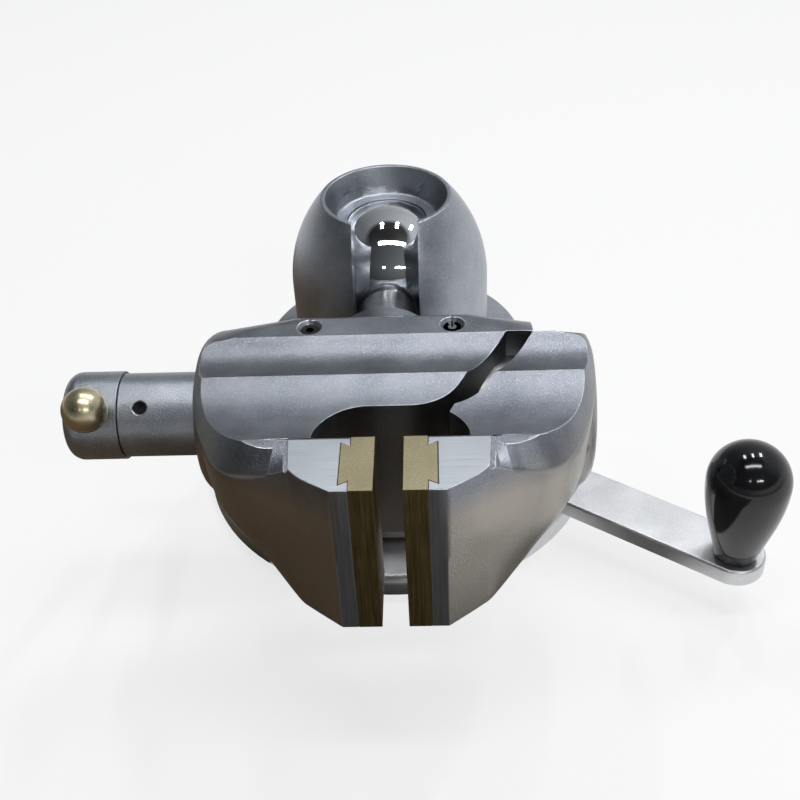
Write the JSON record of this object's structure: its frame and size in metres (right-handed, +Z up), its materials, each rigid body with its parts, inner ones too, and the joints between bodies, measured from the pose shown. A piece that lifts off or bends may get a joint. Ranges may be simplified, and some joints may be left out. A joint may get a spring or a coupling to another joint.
{
  "type": "ball vise",
  "caption": "Bench vise with a two-part sliding jaw head on a ball in a slotted socket, over a round base with a crank clamp.",
  "frame": {"origin": "centre of the base plate's underside, on the bench", "axes": "+Z up, +X to the right of the jaws, -Y towards the jaws' front faces"},
  "size_m": [0.3332, 0.3225, 0.1758],
  "materials": {
    "blasted_steel": "satin bead-blasted steel",
    "bright_steel": "turned and ground steel",
    "polished_chrome": "mirror polished",
    "brass": "machined brass",
    "black_plastic": "glossy moulded plastic",
    "black_steel": "black oxide"
  },
  "bodies": {
    "base": {"base_plate": "blasted_steel", "plate_screws": "black_steel", "thrust_washer": "brass", "pedestal": "blasted_steel", "socket_housing": "blasted_steel", "housing_screws": "black_steel"},
    "crank": {"clamp_ring": "blasted_steel", "crank_arm": "blasted_steel", "arm_screws": "black_steel", "knob_spindle": "bright_steel"},
    "knob": {"crank_knob": "black_plastic"},
    "pressure": {"push_pins": "bright_steel", "pressure_plate": "bright_steel", "pressure_cup": "brass"},
    "ball": {"ball": "polished_chrome"},
    "head": {"stem": "bright_steel", "fixed_jaw": "blasted_steel", "ledge_set_screws": "black_steel", "fixed_insert": "brass", "fixed_insert_key": "black_steel", "sleeve": "blasted_steel", "sleeve_screw": "black_steel", "thrust_bush": "brass"},
    "moving_head": {"moving_jaw": "blasted_steel", "moving_insert": "brass", "moving_insert_key": "black_steel", "ram": "bright_steel", "ram_pin": "bright_steel", "ram_nut": "brass"},
    "screw": {"lead_screw": "bright_steel", "screw_collar": "bright_steel", "end_cap": "blasted_steel", "cap_pin": "bright_steel"},
    "tommy": {"tommy_bar": "bright_steel", "tommy_balls": "brass"}
  },
  "joints": [
    {"name": "crank_turn", "type": "hinge", "parent": "base", "child": "crank", "pos_m": [0, 0, 0], "axis": [0, 0, 1], "range_deg": [0, 110]},
    {"name": "knob_spin", "type": "hinge", "parent": "crank", "child": "knob", "pos_m": [0.17039, -0.11667, 0.0356], "axis": [0, 0, 1], "continuous": true},
    {"name": "pressure_lift", "type": "slide", "parent": "base", "child": "pressure", "axis": [0, 0, 1], "range_m": [-0.0005, 0]},
    {"name": "ball_pitch", "type": "hinge", "parent": "base", "child": "ball", "pos_m": [0, 0, 0.13], "axis": [-1, 0, 0], "range_deg": [0, 90]},
    {"name": "head_roll", "type": "hinge", "parent": "ball", "child": "head", "pos_m": [0, 0, 0.13], "axis": [0, -1, 0], "range_deg": [-20, 20]},
    {"name": "screw_turn", "type": "hinge", "parent": "head", "child": "screw", "pos_m": [-0.117, -0.1163, 0.13], "axis": [-1, 0, 0], "range_deg": [-770.42, 3600.02]},
    {"name": "jaw_slide", "type": "slide", "parent": "head", "child": "moving_head", "axis": [1, 0, 0], "range_m": [-0.0107, 0.05]},
    {"name": "tommy_slide", "type": "slide", "parent": "screw", "child": "tommy", "axis": [0, -0.7242, 0.6896], "range_m": [0, 0.0547]}
  ],
  "couplings": [
    {"joint": "screw_turn", "follows": "jaw_slide", "rad_per_m": 1256.6},
    {"joint": "pressure_lift", "follows": "crank_turn", "m_per_rad": -0.00026043}
  ]
}
